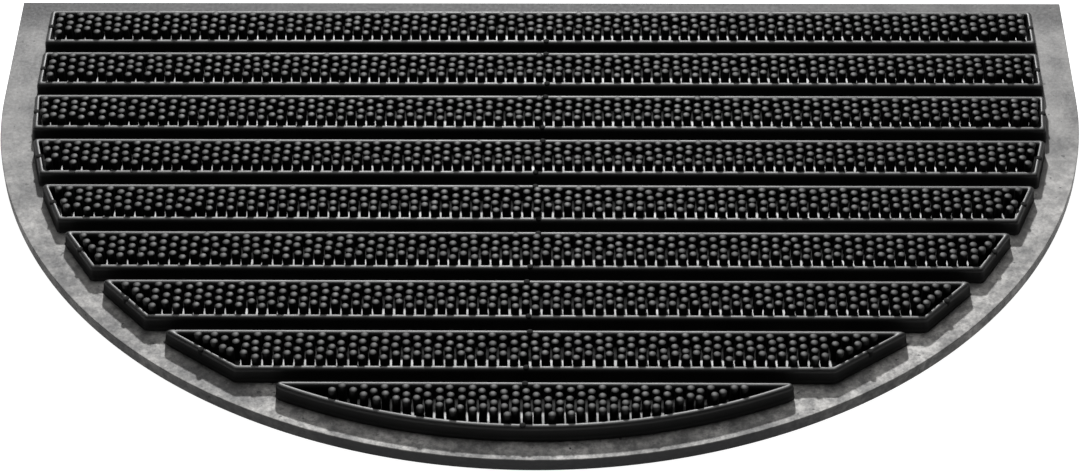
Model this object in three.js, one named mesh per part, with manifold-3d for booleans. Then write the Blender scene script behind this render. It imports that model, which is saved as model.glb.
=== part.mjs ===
// Half-round doormat moulded in one piece of black rubber, lying face up.
// Units are millimetres. The origin is on the floor, under the middle of the mat's plan.
// +X runs to the right along the straight edge, +Y towards that edge, +Z up.

import * as THREE from 'three';
import { mergeVertices } from 'three/addons/utils/BufferGeometryUtils.js';
import Module from 'manifold-3d';

const wasm = await Module();
wasm.setup();

// Plate: a straight back edge, two short straight sides and a half-ellipse in front
const MAT_LENGTH = 750;
const MAT_DEPTH = 450;
const STRAIGHT_SIDE = 106;
const PLATE_THICKNESS = 9.5;
const PLATE_ARC_STEPS = 36;

// Trays: walled troughs from side to side, which together follow the plate's outline. Their field's
// curve is a little fuller than an ellipse, whose power is 2.
const FIELD_POWER = 2.03;
const ARC_STEPS = 24;
const TRAY_COUNT = 9;
const TRAY_PITCH = 46.25;
const TRAY_DEPTH = 35.85;
const BACK_BORDER = 23.15;
const SIDE_BORDER = 23.5;
const FRONT_BORDER = 16.7;
const TRAY_FLOOR = 9.8;
const RIM_TOP = 20.8;
const RIM_WIDTH = 3.9;
const LIP_ROUNDING = 1.2;
const WALL_DRAFT = 0.6;
const CORNER_CUT = 3;
const TIP_HALF_LENGTH = 163.5;
const TIP_CUT = 4;
const OUTLINE_STEPS = 4;
const SHORTEST_STEP = 0.01;

// Pins: round rubber fingers in the trays, a stated share of them at their real size
const PIN_TOP = 25;
const PIN_DIAMETER = 4.4;
const PIN_TAPER = 0.9;
const PIN_SIDES = 4;
const PIN_SPACING = 18.5;
const PIN_ROW_OFFSET = 6.65;
const PIN_ROW_SHIFT = 0.8;
const PIN_WALL_GAP = 4;

// Nubs: the posts that stand in the rims, one in each end wall and one near the middle of each
// long wall. A row gives the places along X of the posts in a tray's two long walls.
const NUB_TOP = 21.6;
const NUB_SIDES = 6;
const NUB_TABLE = [
  { front: 4.5 },
  { back: 4.5, front: 5.5 },
  { back: 4.5, front: 2.5 },
  { back: 3, front: -1.5 },
  { back: -1.5, front: 1 },
  { back: 1, front: -4 },
  { back: -6, front: -4.5 },
  { back: -3.5, front: -5.5 },
  { back: -6, front: -7 },
];

// How far each cut or joined piece runs past the face that it meets
const OVERRUN = 2;

const RUBBER = { color: 0x202021, roughness: 0.7, metalness: 0 };

const CURVE_START = MAT_DEPTH / 2 - STRAIGHT_SIDE;
const FRONT_ROW = TRAY_COUNT - 1;

// Half-axes of the tray field's curved part, drawn in all round by an inset
function fieldAxes(inset) {
  return {
    across: MAT_LENGTH / 2 - SIDE_BORDER - inset,
    forward: CURVE_START + MAT_DEPTH / 2 - FRONT_BORDER - inset,
  };
}

// Half the length of the tray field at a depth y
function fieldHalfLength(y, inset) {
  const { across, forward } = fieldAxes(inset);
  const rise = Math.min(1, Math.max(0, CURVE_START - y) / forward);
  return across * (1 - rise ** FIELD_POWER) ** (1 / FIELD_POWER);
}

// The tray field's front edge at a place x
function fieldFront(x, inset) {
  const { across, forward } = fieldAxes(inset);
  return CURVE_START - forward * (1 - Math.abs(x / across) ** FIELD_POWER) ** (1 / FIELD_POWER);
}

// Outer back edge, front edge and middle of a tray; row 0 is nearest to the straight edge
function trayBack(row) {
  return MAT_DEPTH / 2 - BACK_BORDER - row * TRAY_PITCH;
}

function trayMiddle(row) {
  return trayBack(row) - TRAY_DEPTH / 2;
}

function trayFront(row) {
  return trayBack(row) - TRAY_DEPTH;
}

// A point that lies a given distance from one point towards another
function pointTowards(from, to, distance) {
  return from.clone().add(to.clone().sub(from).setLength(distance));
}

// How far a corner is cut back: a square corner by CORNER_CUT, and a sharper one by more
function cornerCut(before, corner, after) {
  const between = before.clone().sub(corner).angleTo(after.clone().sub(corner));
  return CORNER_CUT * Math.sqrt(Math.SQRT1_2 / Math.sin(between / 2));
}

// Outline of a tray with four rounded corners
function bandOutline(row, inset) {
  const back = trayBack(row) - inset;
  const front = trayFront(row) + inset;
  const backEnd = fieldHalfLength(back, inset);
  const frontEnd = fieldHalfLength(front, inset);
  const corners = [
    new THREE.Vector2(-backEnd, back),
    new THREE.Vector2(backEnd, back),
    new THREE.Vector2(frontEnd, front),
    new THREE.Vector2(-frontEnd, front),
  ];
  const shape = new THREE.Shape();
  corners.forEach((corner, index) => {
    const before = corners[(index + corners.length - 1) % corners.length];
    const after = corners[(index + 1) % corners.length];
    const cut = cornerCut(before, corner, after);
    const start = pointTowards(corner, before, cut);
    const end = pointTowards(corner, after, cut);
    if (index === 0) {
      shape.moveTo(start.x, start.y);
    } else {
      shape.lineTo(start.x, start.y);
    }
    shape.quadraticCurveTo(corner.x, corner.y, end.x, end.y);
  });
  return shape.getPoints(OUTLINE_STEPS);
}

// Outline of the front tray: a straight back, an arc in front and two short blunt tips
function segmentOutline(inset) {
  const back = trayBack(FRONT_ROW) - inset;
  const tip = Math.min(TIP_HALF_LENGTH - inset, fieldHalfLength(back, inset));
  const tipFront = fieldFront(tip, inset);
  const tipMiddle = (back + tipFront) / 2;
  const arcEnd = tip - TIP_CUT;
  const arcEndY = fieldFront(arcEnd, inset);
  const shape = new THREE.Shape();
  shape.moveTo(-arcEnd, back);
  shape.lineTo(arcEnd, back);
  shape.quadraticCurveTo(tip, back, tip, tipMiddle);
  shape.quadraticCurveTo(tip, tipFront, arcEnd, arcEndY);
  for (let step = 1; step <= ARC_STEPS; step += 1) {
    const x = arcEnd * Math.cos((step / ARC_STEPS) * Math.PI);
    shape.lineTo(x, fieldFront(x, inset));
  }
  shape.quadraticCurveTo(-tip, tipFront, -tip, tipMiddle);
  shape.quadraticCurveTo(-tip, back, -arcEnd, back);
  const points = shape.getPoints(OUTLINE_STEPS * 2);
  return points.filter((point, index) => {
    return index === 0 || point.distanceTo(points[index - 1]) > SHORTEST_STEP;
  });
}

function trayOutline(row, inset) {
  return row === FRONT_ROW ? segmentOutline(inset) : bandOutline(row, inset);
}

// Closed solid between two levels, whose outlines have the same number of points
function draftedPrism(lowOutline, low, highOutline, high) {
  const geometry = new THREE.ExtrudeGeometry(new THREE.Shape(lowOutline), {
    depth: high - low,
    bevelEnabled: false,
  });
  const position = geometry.attributes.position;
  for (let index = 0; index < position.count; index += 1) {
    if (position.getZ(index) > 0) {
      const corner = new THREE.Vector2(position.getX(index), position.getY(index));
      const distances = lowOutline.map((point) => point.distanceTo(corner));
      const moved = highOutline[distances.indexOf(Math.min(...distances))];
      position.setXY(index, moved.x, moved.y);
    }
  }
  return geometry.translate(0, 0, low);
}

function solidFrom(geometry) {
  geometry.deleteAttribute('normal');
  geometry.deleteAttribute('uv');
  const merged = mergeVertices(geometry);
  return new wasm.Manifold(new wasm.Mesh({
    numProp: 3,
    vertProperties: merged.attributes.position.array,
    triVerts: new Uint32Array(merged.index.array),
  }));
}

function geometryFrom(solid) {
  const mesh = solid.getMesh();
  const geometry = new THREE.BufferGeometry();
  geometry.setAttribute('position', new THREE.BufferAttribute(mesh.vertProperties, mesh.numProp));
  geometry.setIndex(new THREE.BufferAttribute(mesh.triVerts, 1));
  geometry.computeVertexNormals();
  return geometry;
}

// Flat plate under everything, with square back corners
function plateSolid() {
  const halfLength = MAT_LENGTH / 2;
  const halfDepth = MAT_DEPTH / 2;
  const shape = new THREE.Shape();
  shape.moveTo(-halfLength, halfDepth);
  shape.lineTo(halfLength, halfDepth);
  shape.lineTo(halfLength, CURVE_START);
  shape.absellipse(0, CURVE_START, halfLength, CURVE_START + halfDepth, 0, -Math.PI, true);
  return solidFrom(new THREE.ExtrudeGeometry(shape, {
    depth: PLATE_THICKNESS,
    bevelEnabled: false,
    curveSegments: PLATE_ARC_STEPS,
  }));
}

// Outside of a tray: walls that lean inwards as they rise, with a rounded lip
function traySolid(row) {
  const foot = trayOutline(row, -WALL_DRAFT);
  const shoulder = trayOutline(row, 0);
  const top = trayOutline(row, LIP_ROUNDING);
  const wallFoot = PLATE_THICKNESS - OVERRUN;
  const wallTop = RIM_TOP - LIP_ROUNDING;
  const walls = solidFrom(draftedPrism(foot, wallFoot, shoulder, wallTop));
  const lip = solidFrom(draftedPrism(shoulder, wallTop, top, RIM_TOP));
  return walls.add(lip);
}

// Hollow of a tray, a little longer and deeper at its mouth than at its floor
function pocketSolid(row) {
  const floor = trayOutline(row, RIM_WIDTH + WALL_DRAFT / 2);
  const mouth = trayOutline(row, RIM_WIDTH);
  return solidFrom(draftedPrism(floor, TRAY_FLOOR, mouth, RIM_TOP + OVERRUN));
}

// A post of a few sides that stands at a place on the mat, between two levels
function postSolid(x, y, foot, top, sides) {
  const height = top - foot;
  const radius = PIN_DIAMETER / 2 / Math.sqrt(Math.cos(Math.PI / sides));
  const geometry = new THREE.CylinderGeometry(radius * PIN_TAPER, radius, height, sides);
  geometry.rotateX(Math.PI / 2);
  geometry.rotateZ(Math.PI / sides);
  geometry.translate(x, y, foot + height / 2);
  return solidFrom(geometry);
}

// Places of a tray's pins: one row near the back wall and one near the front wall, in turn
function pinPlaces(row) {
  const wallInset = RIM_WIDTH + PIN_WALL_GAP;
  const places = [];
  const reach = Math.floor(fieldHalfLength(trayBack(row) - wallInset, wallInset) / PIN_SPACING);
  for (let column = -reach; column <= reach; column += 1) {
    const x = column * PIN_SPACING;
    const offset = column % 2 === 0 ? PIN_ROW_OFFSET : -PIN_ROW_OFFSET;
    const y = trayMiddle(row) + PIN_ROW_SHIFT + offset;
    if (Math.abs(x) <= fieldHalfLength(y, wallInset)) {
      places.push([x, y]);
    }
  }
  return places;
}

// Places of a tray's nubs: in its long walls as the table says, and in the middle of its end walls
function nubPlaces(row) {
  const halfRim = RIM_WIDTH / 2;
  const { back, front } = NUB_TABLE[row];
  const places = [];
  if (back !== undefined) {
    places.push([back, trayBack(row) - halfRim]);
  }
  if (row === FRONT_ROW) {
    places.push([front, fieldFront(front, halfRim)]);
  } else {
    const end = fieldHalfLength(trayMiddle(row), halfRim);
    places.push([front, trayFront(row) + halfRim], [-end, trayMiddle(row)], [end, trayMiddle(row)]);
  }
  return places;
}

// The whole moulding: plate, trays and their hollows, then pins and nubs
function matSolid() {
  let mat = plateSolid();
  for (let row = 0; row < TRAY_COUNT; row += 1) {
    mat = mat.add(traySolid(row)).subtract(pocketSolid(row));
    for (const [x, y] of pinPlaces(row)) {
      mat = mat.add(postSolid(x, y, TRAY_FLOOR - OVERRUN, PIN_TOP, PIN_SIDES));
    }
    for (const [x, y] of nubPlaces(row)) {
      mat = mat.add(postSolid(x, y, PLATE_THICKNESS - OVERRUN, NUB_TOP, NUB_SIDES));
    }
  }
  return mat;
}

const material = new THREE.MeshStandardMaterial({ ...RUBBER, flatShading: true });
const mat = new THREE.Mesh(geometryFrom(matSolid()), material);
mat.name = 'mat';

const doormat = new THREE.Group();
doormat.add(mat);

export default doormat;
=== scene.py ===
import math
import random

import bmesh
import bpy
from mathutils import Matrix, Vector


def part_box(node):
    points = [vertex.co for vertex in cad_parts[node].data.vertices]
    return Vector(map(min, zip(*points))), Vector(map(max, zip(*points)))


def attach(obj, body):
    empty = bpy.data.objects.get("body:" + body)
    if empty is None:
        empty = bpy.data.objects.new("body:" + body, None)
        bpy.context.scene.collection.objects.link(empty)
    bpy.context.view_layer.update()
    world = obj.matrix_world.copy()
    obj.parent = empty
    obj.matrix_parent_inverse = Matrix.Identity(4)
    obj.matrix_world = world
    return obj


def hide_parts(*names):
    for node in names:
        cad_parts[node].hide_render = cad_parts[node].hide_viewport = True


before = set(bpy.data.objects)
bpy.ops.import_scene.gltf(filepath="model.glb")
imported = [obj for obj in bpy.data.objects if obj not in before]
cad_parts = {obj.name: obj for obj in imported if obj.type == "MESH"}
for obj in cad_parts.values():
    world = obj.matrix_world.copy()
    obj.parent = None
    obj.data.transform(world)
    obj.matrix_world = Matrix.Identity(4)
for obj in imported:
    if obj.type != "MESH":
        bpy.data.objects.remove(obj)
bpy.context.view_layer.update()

# Sizes in metres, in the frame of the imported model. The mat's own box gives the overall sizes,
# and the rest repeats the part's source.
MM = 0.001
MAT_NODE = "mat"
LOW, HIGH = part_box(MAT_NODE)
HALF_LENGTH = (HIGH.x - LOW.x) / 2
HALF_DEPTH = (HIGH.y - LOW.y) / 2
PIN_TOP = HIGH.z

# Plate
STRAIGHT_SIDE = 106 * MM
CURVE_START = HALF_DEPTH - STRAIGHT_SIDE
PLATE_TOP = 9.5 * MM
PLATE_ARC_SIDES = 288
PLATE_EDGE_ROUNDING = 0.5 * MM
PLATE_FOOT_ROUNDING = 0.4 * MM
ROUNDING_STEPS = 3

# Trays
FIELD_POWER = 2.03
TRAY_COUNT = 9
FRONT_ROW = TRAY_COUNT - 1
TRAY_PITCH = 46.25 * MM
TRAY_DEPTH = 35.85 * MM
BACK_BORDER = 23.15 * MM
SIDE_BORDER = 23.5 * MM
FRONT_BORDER = 16.7 * MM
TRAY_FLOOR = 9.8 * MM
RIM_TOP = 20.8 * MM
RIM_WIDTH = 3.9 * MM
WALL_MIDDLE = (TRAY_FLOOR + RIM_TOP) / 2
TIP_HALF_LENGTH = 163.5 * MM
CORNER_STEPS = 8
SQUARE_CORNER = math.sqrt(0.5)
SHARP_CORNER_POWER = 1.2
TIP_ROUNDNESS = 1.6
ARC_STEPS = 64
TRAY_SMOOTH_ANGLE = 40

# Profile of a tray's walls, in millimetres, from the foot outside to the floor inside. Each step is
# (how far in at the front and ends, how far in at the back, how high, how far corners are cut back).
# Every long wall has its crest towards the back and a broad rounding towards the front.
TRAY_PROFILE = (
    (-1.1, -1.1, 8.5, 2.7), (-1.1, -1.1, 9.5, 2.7), (-0.7, -0.7, 9.65, 2.6), (-0.5, -0.5, 10.2, 2.5),
    (-0.05, -0.05, 17.8, 2.5), (0.05, -0.04, 18.5, 2.4), (0.2, -0.02, 19.05, 2.3),
    (0.5, 0.02, 19.65, 2.2), (0.95, 0.12, 20.15, 2.1), (1.5, 0.32, 20.52, 1.9), (2.1, 0.6, 20.73, 1.7),
    (2.75, 1.1, 20.8, 1.5), (3.35, 1.75, 20.73, 1.3), (3.65, 2.4, 20.48, 1.2), (3.8, 2.95, 20, 1.1),
    (3.88, 3.35, 19.3, 1), (3.92, 3.68, 18.5, 1), (3.95, 3.85, 17.7, 0.9),
    (4.15, 4.15, 10.7, 0.8), (4.35, 4.35, 10, 0.7), (4.7, 4.7, 9.8, 0.6))

# Pins
PIN_DIAMETER = 5.1 * MM
PIN_SIDES = 12
PIN_SMOOTH_ANGLE = 50
PIN_SINK = 0.6 * MM
COLUMN_PITCH = 6.84 * MM
PIN_PITCH = 6.65 * MM
PITCH_SLACK = PIN_PITCH / 10
BACK_GAP = 4.2 * MM
FRONT_GAP = 3.7 * MM
PIN_LEAN = 0.45 * MM
PIN_LEAN_LIMIT = 1.1 * MM
FRONT_ROW_SHIFT = 2 * MM

# Steps of a pin's dome, in millimetres: how far in from the side, how far up
DOME_STEPS = ((0.1, 0.2), (0.36, 0.27), (0.95, 0.26))

# Pins along a slanted or curved wall stand in a line of their own, and the rows stop short of it
FIRST_SLANTED_ROW = 3
STRAIGHT_END_GAP = 5.1 * MM
SLANTED_END_GAP = 8.2 * MM
ARC_GAP = 5.3 * MM
EDGE_GAP = 4.6 * MM
EDGE_SPACING = 6.1 * MM
EDGE_STEP = 0.5 * MM

# Nubs: the places along X, in millimetres, of the posts in each tray's front and back wall
NUB_TOP = 21.4 * MM
NUB_DEPTH = 4 * MM
NUB_DIAMETER = 4.2 * MM
NUB_INSET = 2.6 * MM
NUB_FRONT = (4.5, 5.5, 2.5, -1.5, 1, -4, -4.5, -5.5, -7)
NUB_BACK = (None, 4.5, 4.5, 3, -1.5, 1, -6, -3.5, -6)

# What counts as lying at a level and as lying flat
LEVEL_SLACK = 0.01 * MM
LEAST_FLAT_NORMAL = 0.99

# Noise in the rubber: spots per metre, detail and roughness
DUST_CLOUD = (34, 7, 0.68)
FRONT_SCUFFS = (150, 5, 0.72)
PLATE_SPECKLE = (420, 3, 0.7)
PLATE_PITS = (230, 2, 0.5)
RUBBER_CLOUD = (60, 4, 0.6)
RUBBER_GRAIN = (700, 3, 0.6)

# The part of each noise that is used
CLOUD_RANGE = (0.32, 0.7)
SCUFF_RANGE = (0.4, 0.62)
SPECKLE_RANGE = (0.25, 0.75)
PIT_RANGE = (0.25, 0.31)
RUBBER_RANGE = (0.3, 0.7)

# Where the plate's dust and its painted light and shade change along X and Y, in metres, and the heights
# where its top ends
ACROSS = (-HALF_LENGTH, HALF_LENGTH)
BACK_CORNER = (0.1, 0.36)
# Painted light: the side face is made lighter towards the mat's two ends
SIDE_FACE_ENDS = (0.12, 0.36)
BACK_STRIP = (0.212, 0.19)
# Real scuffs, and painted light: the front is made lighter
FRONT_SCUFF_AND_LIGHT_RAMP = (-0.12, 0.12)
# Painted shade: below this height the side face gets none of the dust and stays dark
PLATE_BRINK = (PLATE_TOP * 0.93, PLATE_TOP * 0.99)

# Amounts of dust and painted light and shade at the two ends of each of these ranges, and the amount of
# dust that lies everywhere
# Painted light: the back strip's right end is made lighter
CORNER_PAINTED_LIGHT = (0.15, 0.5)
# Painted shade: the back strip is made darker
STRIP_PAINTED_SHADE = (0.15, 1)
# Painted light: the right side is made lighter than the left
ACROSS_PAINTED_LIGHT = (0.79, 1.1)
SCUFF_DUST = (0, 1.1)
CLOUD_DUST = (0.1, 1)
EVEN_DUST = 0.45

# Finish of the plate, and its relief in layers of cloud, pits and speckle: strength and depth
CLEAN_RUBBER = (0.016, 0.016, 0.017)
# The grey that the dust mask reaches; it carries the plate's painted light and shade as well as its dust
DUST_AND_PAINTED_LIGHT_GREY = (0.28, 0.273, 0.263)
PIT_RUBBER = (0.01, 0.01, 0.01)
PLATE_ROUGHNESS = (0.57, 0.79)
STRIP_ROUGHNESS = (0.09, 0)
PLATE_SHINE = (0.2, 0.5)
CLOUD_RELIEF = (0.3, 0.9 * MM)
PIT_RELIEF = (0.4, 0.3 * MM)
SPECKLE_RELIEF = (0.55, 0.16 * MM)

# Moulded rubber: its grey, roughness and grain, the shine on its tops, and how far down that reaches
TRAY_RUBBER = {
    "grey": 0.006, "roughness": (0.47, 0.57), "grain": 0.35, "shine": 0.5, "top": RIM_TOP, "edge": 2.8 * MM}
PIN_RUBBER = {
    "grey": 0.005, "roughness": (0.54, 0.64), "grain": 0.35, "shine": 0.3, "top": PIN_TOP, "edge": 1.6 * MM}
NUB_RUBBER = {
    "grey": 0.006, "roughness": (0.85, 0.95), "grain": 0.5, "shine": 0.15, "top": NUB_TOP, "edge": 1.6 * MM}
GREY_SPREAD = (0.6, 1.6)
GRAIN_DEPTH = 0.1 * MM
WALL_SHINE = 0.14
FULL_SHINE_SHARE = 1 / 3

# Camera, lights and floor, in metres, degrees and watts
CAMERA_PLACE = (0.02617, -1.56398, 1.45652)
CAMERA_TURN = (46.838, 0.3545, 0.5685)
CAMERA_LENS = 105.626
SENSOR_WIDTH = 36
KEY_PLACE = (-0.12, 2.45, 2)
KEY_SIZE = 0.15
KEY_POWER = 222
SOFTBOX_PLACE = (0, 0.85, 2.4)
SOFTBOX_SIZE = 1.7
SOFTBOX_POWER = 46
WHITE = (1, 1, 1, 1)
STUDIO_LIGHT = 0.02
FLOOR_SIZE = 12
FLOOR_GREY = (0.25, 0.25, 0.25, 1)
FLOOR_GLOW = 1
FLOOR_ROUGHNESS = 0.9


def nothing_selected():
    """Leaves edit mode and deselects everything"""
    if bpy.context.mode != "OBJECT":
        bpy.ops.object.mode_set(mode="OBJECT")
    bpy.ops.object.select_all(action="DESELECT")


def named(name):
    """Gives the object that was just added its name"""
    piece = bpy.context.object
    piece.name = name
    piece.data.name = name
    return piece


def select_faces(piece, test):
    """Selects the faces whose middle and normal pass a test, and nothing else"""
    bpy.ops.object.mode_set(mode="EDIT")
    bpy.ops.mesh.select_mode(type="FACE")
    bpy.ops.mesh.select_all(action="DESELECT")
    bpy.ops.object.mode_set(mode="OBJECT")
    for face in piece.data.polygons:
        face.select = test(face.center, face.normal)
    bpy.ops.object.mode_set(mode="EDIT")


def select_edges(piece, test):
    """Selects the edges whose two ends pass a test, and nothing else"""
    bpy.ops.object.mode_set(mode="EDIT")
    bpy.ops.mesh.select_mode(type="EDGE")
    bpy.ops.mesh.select_all(action="DESELECT")
    bpy.ops.object.mode_set(mode="OBJECT")
    points = [vertex.co for vertex in piece.data.vertices]
    for edge in piece.data.edges:
        edge.select = test(points[edge.vertices[0]], points[edge.vertices[1]])
    bpy.ops.object.mode_set(mode="EDIT")


def at_level(level):
    """A test for faces that lie flat at a height"""
    return lambda centre, normal: (
        abs(centre.z - level) < LEVEL_SLACK and abs(normal.z) > LEAST_FLAT_NORMAL)


def field_axes(inset):
    """Half-axes of the tray field's curved part, drawn in all round by an inset"""
    return HALF_LENGTH - SIDE_BORDER - inset, CURVE_START + HALF_DEPTH - FRONT_BORDER - inset


def field_half_length(y, inset):
    """Half the length of the tray field at a depth y"""
    across, forward = field_axes(inset)
    rise = min(1, max(0, CURVE_START - y) / forward)
    return across * (1 - rise ** FIELD_POWER) ** (1 / FIELD_POWER)


def field_front(x, inset):
    """The tray field's front edge at a place x"""
    across, forward = field_axes(inset)
    return CURVE_START - forward * (1 - abs(x / across) ** FIELD_POWER) ** (1 / FIELD_POWER)


def tray_back(row):
    """Outer back edge of a tray; row 0 is nearest to the straight edge"""
    return HALF_DEPTH - BACK_BORDER - row * TRAY_PITCH


def tray_front(row):
    return tray_back(row) - TRAY_DEPTH


def tray_middle(row):
    return tray_back(row) - TRAY_DEPTH / 2


def border_plate():
    """The flat plate under everything: half an ellipse with a straight band behind it"""
    nothing_selected()
    bpy.ops.mesh.primitive_circle_add(
        vertices=PLATE_ARC_SIDES, radius=1, fill_type="NGON", location=(0, CURVE_START, 0))
    plate = named("border_plate")
    bpy.ops.object.mode_set(mode="EDIT")
    bpy.ops.mesh.select_all(action="SELECT")
    bpy.ops.transform.resize(value=(HALF_LENGTH, CURVE_START + HALF_DEPTH, 1))
    bpy.ops.mesh.bisect(
        plane_co=(0, CURVE_START, 0), plane_no=(0, 1, 0), clear_outer=True, clear_inner=False)
    bpy.ops.object.mode_set(mode="OBJECT")
    bpy.ops.object.transform_apply(location=True, rotation=True, scale=True)
    on_straight = lambda point: abs(point.y - CURVE_START) < LEVEL_SLACK
    select_edges(plate, lambda start, end: on_straight(start) and on_straight(end))
    bpy.ops.mesh.extrude_region_move(TRANSFORM_OT_translate={"value": (0, STRAIGHT_SIDE, 0)})
    bpy.ops.mesh.select_all(action="SELECT")
    bpy.ops.mesh.normals_make_consistent(inside=False)
    bpy.ops.mesh.extrude_region_move(TRANSFORM_OT_translate={"value": (0, 0, PLATE_TOP)})
    bpy.ops.mesh.select_all(action="SELECT")
    bpy.ops.mesh.normals_make_consistent(inside=False)
    for level, rounding in ((PLATE_TOP, PLATE_EDGE_ROUNDING), (0, PLATE_FOOT_ROUNDING)):
        select_faces(plate, at_level(level))
        bpy.ops.mesh.region_to_loop()
        bpy.ops.mesh.bevel(offset=rounding, segments=ROUNDING_STEPS, affect="EDGES")
    bpy.ops.object.mode_set(mode="OBJECT")
    return plate


def corner_curve(before, corner, after, cut):
    """Points of a rounded corner, which starts and ends a given distance from the sharp corner"""
    start = corner + (before - corner).normalized() * cut
    end = corner + (after - corner).normalized() * cut
    steps = [index / CORNER_STEPS for index in range(CORNER_STEPS + 1)]
    return [start.lerp(corner, step).lerp(corner.lerp(end, step), step) for step in steps]


def band_outline(row, inset, back_inset, cut):
    """Outline of a tray with four rounded corners; a sharper corner is cut back further"""
    back = tray_back(row) - back_inset
    front = tray_front(row) + inset
    back_end = field_half_length(back, inset)
    front_end = field_half_length(front, inset)
    corners = [
        Vector((-back_end, back)), Vector((back_end, back)),
        Vector((front_end, front)), Vector((-front_end, front))]
    points = []
    for index, corner in enumerate(corners):
        before = corners[index - 1]
        after = corners[(index + 1) % len(corners)]
        sharpness = math.sin((before - corner).angle(after - corner) / 2)
        longer = (SQUARE_CORNER / sharpness) ** SHARP_CORNER_POWER
        points += corner_curve(before, corner, after, cut * longer)
    return points


def segment_outline(inset, back_inset, cut):
    """Outline of the front tray: a straight back, an arc in front and two short blunt tips"""
    back = tray_back(FRONT_ROW) - back_inset
    tip = min(TIP_HALF_LENGTH - inset, field_half_length(back, inset))
    arc_end = tip - cut
    tip_middle = Vector((tip, (back + field_front(tip, inset)) / 2))
    back_end = Vector((arc_end, back))
    front_end = Vector((arc_end, field_front(arc_end, inset)))
    right = []
    for corner, start, end in (
            (Vector((tip, back)), back_end, tip_middle),
            (Vector((tip, field_front(tip, inset))), tip_middle, front_end)):
        for index in range(CORNER_STEPS):
            step = index / CORNER_STEPS
            right.append(start.lerp(corner, step).lerp(corner.lerp(end, step), step))
    for index in range(ARC_STEPS):
        x = arc_end * math.cos(index / ARC_STEPS * math.pi / 2)
        right.append(Vector((x, field_front(x, inset))))
    left = [Vector((-point.x, point.y)) for point in reversed(right)]
    middle = Vector((0, field_front(0, inset)))
    return right + [middle] + left


def tray_outline(row, inset, back_inset, cut):
    """Outline of any tray; the tips of the front one are rounder than the other trays' corners"""
    if row == FRONT_ROW:
        return segment_outline(inset, back_inset, cut * TIP_ROUNDNESS)
    return band_outline(row, inset, back_inset, cut)


def place_ring(outline, level):
    """Moves the selected face's points onto an outline, in order round it"""
    mesh = bmesh.from_edit_mesh(bpy.context.object.data)
    face = next(face for face in mesh.faces if face.select)
    for loop, point in zip(face.loops, outline):
        loop.vert.co = (point.x, point.y, level)
    bmesh.update_edit_mesh(bpy.context.object.data)


def grown(name, rings):
    """A closed block grown from a flat face: each ring is an outline and the level that it lies at"""
    nothing_selected()
    bpy.ops.mesh.primitive_circle_add(
        vertices=len(rings[0][0]), radius=1, fill_type="NGON", location=(0, 0, 0))
    piece = named(name)
    bpy.ops.object.mode_set(mode="EDIT")
    bpy.ops.mesh.select_mode(type="FACE")
    bpy.ops.mesh.select_all(action="SELECT")
    place_ring(*rings[0])
    for outline, level in rings[1:]:
        bpy.ops.mesh.extrude_region_move(TRANSFORM_OT_translate={"value": (0, 0, 1)})
        place_ring(outline, level)
    bpy.ops.mesh.select_all(action="SELECT")
    bpy.ops.mesh.normals_make_consistent(inside=False)
    bpy.ops.object.mode_set(mode="OBJECT")
    return piece


def tray_block(row):
    """One tray: drafted walls with a rounded lip, and the hollow that holds its pins"""
    rings = [
        (tray_outline(row, inset * MM, back_inset * MM, cut * MM), level * MM)
        for inset, back_inset, level, cut in TRAY_PROFILE]
    tray = grown(f"tray_{row + 1}", rings)
    bpy.ops.object.shade_smooth_by_angle(angle=math.radians(TRAY_SMOOTH_ANGLE))
    return tray


def one_post(foot, top, diameter):
    """A round rubber post with a domed tip, standing on the middle of the mat"""
    nothing_selected()
    shoulder = top - sum(rise for inwards, rise in DOME_STEPS) * MM
    bpy.ops.mesh.primitive_cylinder_add(
        vertices=PIN_SIDES, radius=diameter / 2, depth=shoulder - foot, end_fill_type="NGON",
        location=(0, 0, (foot + shoulder) / 2))
    post = named("post")
    bpy.ops.object.transform_apply(location=True, rotation=True, scale=True)
    select_faces(post, at_level(shoulder))
    for inwards, rise in DOME_STEPS:
        bpy.ops.mesh.inset(thickness=inwards * MM, depth=rise * MM)
    bpy.ops.object.mode_set(mode="OBJECT")
    return post


def edge_line(row):
    """The line near a tray's slanted ends or curved front that its outermost pins stand on"""
    reach = RIM_WIDTH + EDGE_GAP
    if row == FRONT_ROW:
        end = field_half_length(tray_back(row) - RIM_WIDTH - BACK_GAP, reach)
        count = int(2 * end / EDGE_STEP)
        places = [Vector((end - index * EDGE_STEP, 0)) for index in range(count)]
        return [Vector((place.x, field_front(place.x, reach))) for place in places]
    back = tray_back(row) - RIM_WIDTH - BACK_GAP
    front = tray_front(row) + RIM_WIDTH + FRONT_GAP
    start = Vector((end_wall(row, back) - EDGE_GAP / end_slope(row), back))
    finish = Vector((end_wall(row, front) - EDGE_GAP / end_slope(row), front))
    count = int((finish - start).length / EDGE_STEP) + 1
    right = [start.lerp(finish, index / (count - 1)) for index in range(count)]
    return right + [Vector((-place.x, place.y)) for place in right]


def end_wall(row, y):
    """How far out a tray's end wall stands inside, at a depth y"""
    back = tray_back(row) - RIM_WIDTH
    front = tray_front(row) + RIM_WIDTH
    share = (back - y) / (back - front)
    back_end = field_half_length(back, RIM_WIDTH)
    return back_end + (field_half_length(front, RIM_WIDTH) - back_end) * share


def end_slope(row):
    """Distance square to a tray's end wall, as a share of the distance along X"""
    back = tray_back(row) - RIM_WIDTH
    front = tray_front(row) + RIM_WIDTH
    run = Vector((end_wall(row, front) - end_wall(row, back), front - back))
    return abs(run.y) / run.length


def wall_gap(row, x, y):
    """How far a place is from a tray's end walls, or from its curved front"""
    if row == FRONT_ROW:
        return y - field_front(x, RIM_WIDTH)
    return (end_wall(row, y) - abs(x)) * end_slope(row)


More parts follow.
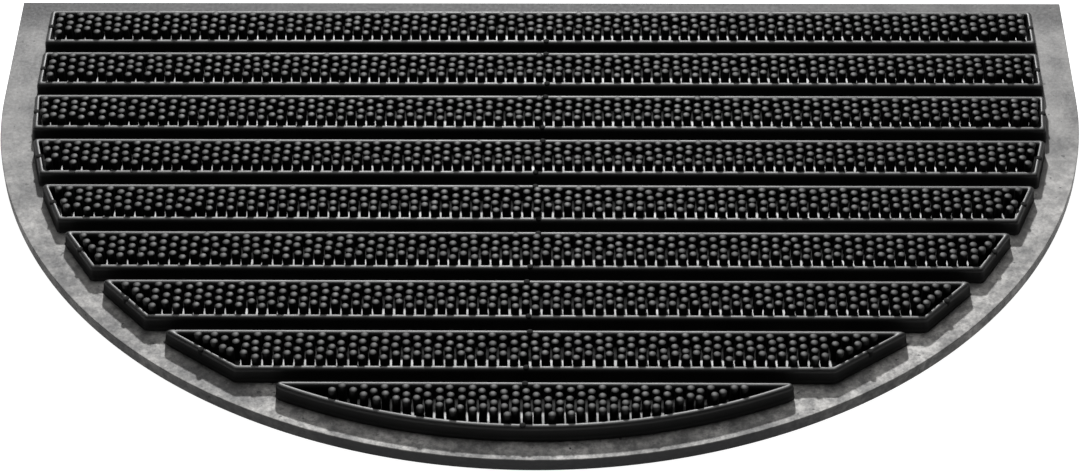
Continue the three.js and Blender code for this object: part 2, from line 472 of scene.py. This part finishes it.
def pin_places(row):
    """Places of a tray's pins: columns with every second one set half a step on, then the edge line"""
    first = tray_back(row) - RIM_WIDTH - BACK_GAP
    last = tray_front(row) + RIM_WIDTH + FRONT_GAP
    least = STRAIGHT_END_GAP if row < FIRST_SLANTED_ROW else SLANTED_END_GAP
    shift = 0
    if row == FRONT_ROW:
        least = ARC_GAP
        shift = FRONT_ROW_SHIFT
    reach = int(HALF_LENGTH / COLUMN_PITCH)
    places = []
    for column in range(-reach, reach + 1):
        x = column * COLUMN_PITCH + shift
        y = first - (column % 2) * PIN_PITCH / 2
        while y >= last - PITCH_SLACK:
            if abs(x) < field_half_length(y, RIM_WIDTH) and wall_gap(row, x, y) >= least:
                places.append(Vector((x, y)))
            y -= PIN_PITCH
    for place in edge_line(row):
        if all((place - other).length >= EDGE_SPACING for other in places):
            places.append(place)
    return places


def nub_places():
    """Places of the nubs: near the middle of the long walls and in the middle of the end walls"""
    places = []
    for row in range(TRAY_COUNT):
        front = NUB_FRONT[row] * MM
        if NUB_BACK[row] is not None:
            places.append((NUB_BACK[row] * MM, tray_back(row) - RIM_WIDTH + NUB_INSET))
        if row == FRONT_ROW:
            places.append((front, field_front(front, NUB_INSET)))
        else:
            end = field_half_length(tray_middle(row), NUB_INSET)
            places += [
                (front, tray_front(row) + NUB_INSET), (-end, tray_middle(row)), (end, tray_middle(row))]
    return places


def copies_of(pin, name, places, lean, seed):
    """One mesh of leaning copies of a pin, one at each place"""
    draw = random.Random(seed)
    foot = min(vertex.co.z for vertex in pin.data.vertices)
    top = max(vertex.co.z for vertex in pin.data.vertices)
    points = []
    faces = []
    for x, y in places:
        first = len(points)
        tip = Vector((draw.gauss(0, lean), draw.gauss(0, lean)))
        if tip.length > PIN_LEAN_LIMIT:
            tip.length = PIN_LEAN_LIMIT
        for vertex in pin.data.vertices:
            rise = (vertex.co.z - foot) / (top - foot)
            points.append((x + vertex.co.x + tip.x * rise, y + vertex.co.y + tip.y * rise, vertex.co.z))
        faces += [[first + index for index in face.vertices] for face in pin.data.polygons]
    mesh = bpy.data.meshes.new(name)
    mesh.from_pydata(points, [], faces)
    piece = bpy.data.objects.new(name, mesh)
    bpy.context.scene.collection.objects.link(piece)
    nothing_selected()
    piece.select_set(True)
    bpy.context.view_layer.objects.active = piece
    bpy.ops.object.shade_smooth_by_angle(angle=math.radians(PIN_SMOOTH_ANGLE))
    return piece


def material_nodes(name):
    """A new material with its nodes, links and main shader"""
    material = bpy.data.materials.new(name)
    material.use_nodes = True
    nodes = material.node_tree.nodes
    links = material.node_tree.links
    return material, nodes, links, nodes["Principled BSDF"]


def noise(nodes, links, place, scale, detail, rough):
    """Noise of a given number of spots per metre, with its detail and roughness"""
    node = nodes.new("ShaderNodeTexNoise")
    node.inputs["Scale"].default_value = scale
    node.inputs["Detail"].default_value = detail
    node.inputs["Roughness"].default_value = rough
    links.new(place, node.inputs["Vector"])
    return node.outputs["Fac"]


def ranged(nodes, links, value, source, result):
    """A value carried from one range to another, and held within it"""
    node = nodes.new("ShaderNodeMapRange")
    links.new(value, node.inputs["Value"])
    node.inputs["From Min"].default_value = source[0]
    node.inputs["From Max"].default_value = source[1]
    node.inputs["To Min"].default_value = result[0]
    node.inputs["To Max"].default_value = result[1]
    return node.outputs["Result"]


def mixed(nodes, links, factor, low, high):
    """A colour between two, by a factor"""
    node = nodes.new("ShaderNodeMix")
    node.data_type = "RGBA"
    node.inputs["A"].default_value = (*low, 1)
    links.new(factor, node.inputs["Factor"])
    if isinstance(high, tuple):
        node.inputs["B"].default_value = (*high, 1)
    else:
        links.new(high, node.inputs["B"])
    return node.outputs["Result"]


def combined(nodes, links, operation, first, second=0.0):
    """A value put together with a second value or a number; some operations use only the first"""
    node = nodes.new("ShaderNodeMath")
    node.operation = operation
    links.new(first, node.inputs[0])
    if isinstance(second, float):
        node.inputs[1].default_value = second
    else:
        links.new(second, node.inputs[1])
    return node.outputs["Value"]


def bumped(nodes, links, shader, layers):
    """Relief in layers, each a height, a strength and a depth, laid over each other"""
    normal = None
    for height, strength, depth in layers:
        bump = nodes.new("ShaderNodeBump")
        bump.inputs["Strength"].default_value = strength
        bump.inputs["Distance"].default_value = depth
        links.new(height, bump.inputs["Height"])
        if normal:
            links.new(normal, bump.inputs["Normal"])
        normal = bump.outputs["Normal"]
    links.new(normal, shader.inputs["Normal"])


def plate_rubber_material():
    """The border's pitted rubber: matt at the back, dusty and scuffed, with painted shade on the back strip
    and the side face's middle, and painted light to the right, in front and at the side face's ends
    """
    material, nodes, links, shader = material_nodes("plate_rubber_dust_and_painted_light")
    place = nodes.new("ShaderNodeTexCoord").outputs["Object"]
    split = nodes.new("ShaderNodeSeparateXYZ")
    links.new(place, split.inputs["Vector"])
    across, along, height = (split.outputs[axis] for axis in "XYZ")
    cloud = noise(nodes, links, place, *DUST_CLOUD)
    speckle = noise(nodes, links, place, *PLATE_SPECKLE)
    pits = noise(nodes, links, place, *PLATE_PITS)

    # Painted shade and light by depth: the back strip darker, its right corner lighter
    corner = ranged(nodes, links, across, BACK_CORNER, CORNER_PAINTED_LIGHT)
    ahead = ranged(nodes, links, along, BACK_STRIP, STRIP_PAINTED_SHADE)
    by_depth = combined(nodes, links, "MAXIMUM", ahead, corner)

    # Dust, even, with scuffs added in front that also paint light there, and painted light making both
    # stronger to the right
    scuffed_and_lit_front = ranged(nodes, links, along, FRONT_SCUFF_AND_LIGHT_RAMP, (1, 0))
    scuffs = ranged(nodes, links, noise(nodes, links, place, *FRONT_SCUFFS), SCUFF_RANGE, SCUFF_DUST)
    added = combined(nodes, links, "MULTIPLY", scuffed_and_lit_front, scuffs)
    by_side = ranged(nodes, links, across, ACROSS, ACROSS_PAINTED_LIGHT)
    dust_scuffs_and_side_light = combined(nodes, links, "MULTIPLY", by_side, combined(nodes, links, "ADD", added, EVEN_DUST))
    dust_and_painted_light_spread = combined(nodes, links, "MULTIPLY", by_depth, dust_scuffs_and_side_light)

    # By face: dust and painted light on top; the side face is left dark as painted shade, except towards
    # the mat's two ends where painted light is added
    facing_up = ranged(nodes, links, height, PLATE_BRINK, (0, 1))
    from_centre = combined(nodes, links, "ABSOLUTE", across)
    ends = ranged(nodes, links, from_centre, SIDE_FACE_ENDS, (0, 1))
    dust_and_painted_light_by_face = combined(
        nodes, links, "MULTIPLY", dust_and_painted_light_spread, combined(nodes, links, "MAXIMUM", facing_up, ends))

    # Real dust patches, scaled by the mask that also holds the painted light and shade
    patches = ranged(nodes, links, cloud, CLOUD_RANGE, CLOUD_DUST)
    dust_and_painted_light = combined(nodes, links, "MULTIPLY", patches, dust_and_painted_light_by_face)
    dust_and_painted_light_colour = mixed(nodes, links, dust_and_painted_light, CLEAN_RUBBER, DUST_AND_PAINTED_LIGHT_GREY)
    pitted = ranged(nodes, links, pits, PIT_RANGE, (0, 1))
    links.new(mixed(nodes, links, pitted, PIT_RUBBER, dust_and_painted_light_colour), shader.inputs["Base Color"])
    matt = ranged(nodes, links, along, BACK_STRIP, STRIP_ROUGHNESS)
    grain = ranged(nodes, links, speckle, SPECKLE_RANGE, PLATE_ROUGHNESS)
    links.new(combined(nodes, links, "ADD", matt, grain), shader.inputs["Roughness"])
    shine = ranged(nodes, links, facing_up, (0, 1), PLATE_SHINE)
    links.new(shine, shader.inputs["Specular IOR Level"])
    bumped(nodes, links, shader, (
        (cloud, *CLOUD_RELIEF), (pits, *PIT_RELIEF), (speckle, *SPECKLE_RELIEF)))
    return material


def moulded_rubber(name, grey, roughness, grain, shine, top, edge):
    """Moulded black rubber of the trays, pins and nubs, duller below their tops except on the floor"""
    material, nodes, links, shader = material_nodes(name)
    place = nodes.new("ShaderNodeTexCoord").outputs["Object"]
    cloud = noise(nodes, links, place, *RUBBER_CLOUD)
    fine = noise(nodes, links, place, *RUBBER_GRAIN)
    dark, pale = ((grey * share, grey * share, grey * share) for share in GREY_SPREAD)
    links.new(mixed(nodes, links, cloud, dark, pale), shader.inputs["Base Color"])
    links.new(ranged(nodes, links, cloud, RUBBER_RANGE, roughness), shader.inputs["Roughness"])
    split = nodes.new("ShaderNodeSeparateXYZ")
    links.new(place, split.inputs["Vector"])
    height = combined(nodes, links, "SUBTRACT", split.outputs["Z"], WALL_MIDDLE)
    from_middle = combined(nodes, links, "ABSOLUTE", height)
    reach = top - WALL_MIDDLE
    shiny = (reach - edge, reach - edge * FULL_SHINE_SHARE)
    polish = ranged(nodes, links, from_middle, shiny, (WALL_SHINE, shine))
    links.new(polish, shader.inputs["Specular IOR Level"])
    bumped(nodes, links, shader, ((fine, grain, GRAIN_DEPTH),))
    return material


def finished(piece, material):
    """Gives a piece its material and its body, and hides the part that it stands for"""
    piece.data.materials.clear()
    piece.data.materials.append(material)
    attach(piece, "root")
    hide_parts(MAT_NODE)


def area_light(name, place, size, power):
    """A square lamp at a place, turned towards the mat's middle"""
    nothing_selected()
    turn = (-Vector(place)).to_track_quat("-Z", "Y").to_euler()
    bpy.ops.object.light_add(type="AREA", location=place, rotation=turn)
    lamp = named(name)
    lamp.data.size = size
    lamp.data.energy = power


nothing_selected()
bpy.ops.object.camera_add(
    location=CAMERA_PLACE, rotation=[math.radians(angle) for angle in CAMERA_TURN])
camera = named("photo_camera")
camera.data.lens = CAMERA_LENS
camera.data.sensor_width = SENSOR_WIDTH
bpy.context.scene.camera = camera

area_light("key_lamp", KEY_PLACE, KEY_SIZE, KEY_POWER)
area_light("top_softbox", SOFTBOX_PLACE, SOFTBOX_SIZE, SOFTBOX_POWER)

nothing_selected()
bpy.ops.mesh.primitive_plane_add(size=FLOOR_SIZE, location=(0, 0, 0))
floor = named("floor")
floor_material, _, _, floor_shader = material_nodes("pale_floor")
floor_shader.inputs["Base Color"].default_value = FLOOR_GREY
floor_shader.inputs["Emission Color"].default_value = WHITE
floor_shader.inputs["Emission Strength"].default_value = FLOOR_GLOW
floor_shader.inputs["Roughness"].default_value = FLOOR_ROUGHNESS
floor.data.materials.append(floor_material)

world = bpy.data.worlds.new("studio")
bpy.context.scene.world = world
world.use_nodes = True
background = world.node_tree.nodes["Background"]
background.inputs["Color"].default_value = WHITE
background.inputs["Strength"].default_value = STUDIO_LIGHT
bpy.context.scene.view_settings.view_transform = "Standard"

plate_rubber = plate_rubber_material()
tray_rubber = moulded_rubber("tray_rubber", **TRAY_RUBBER)
pin_rubber = moulded_rubber("pin_rubber", **PIN_RUBBER)
nub_rubber = moulded_rubber("nub_rubber", **NUB_RUBBER)

finished(border_plate(), plate_rubber)
pin = one_post(TRAY_FLOOR - PIN_SINK, PIN_TOP, PIN_DIAMETER)
for row in range(TRAY_COUNT):
    finished(tray_block(row), tray_rubber)
    finished(copies_of(pin, f"pins_{row + 1}", pin_places(row), PIN_LEAN, row), pin_rubber)
bpy.data.objects.remove(pin)
nub = one_post(RIM_TOP - NUB_DEPTH, NUB_TOP, NUB_DIAMETER)
finished(copies_of(nub, "rim_nubs", nub_places(), 0, TRAY_COUNT), nub_rubber)
bpy.data.objects.remove(nub)
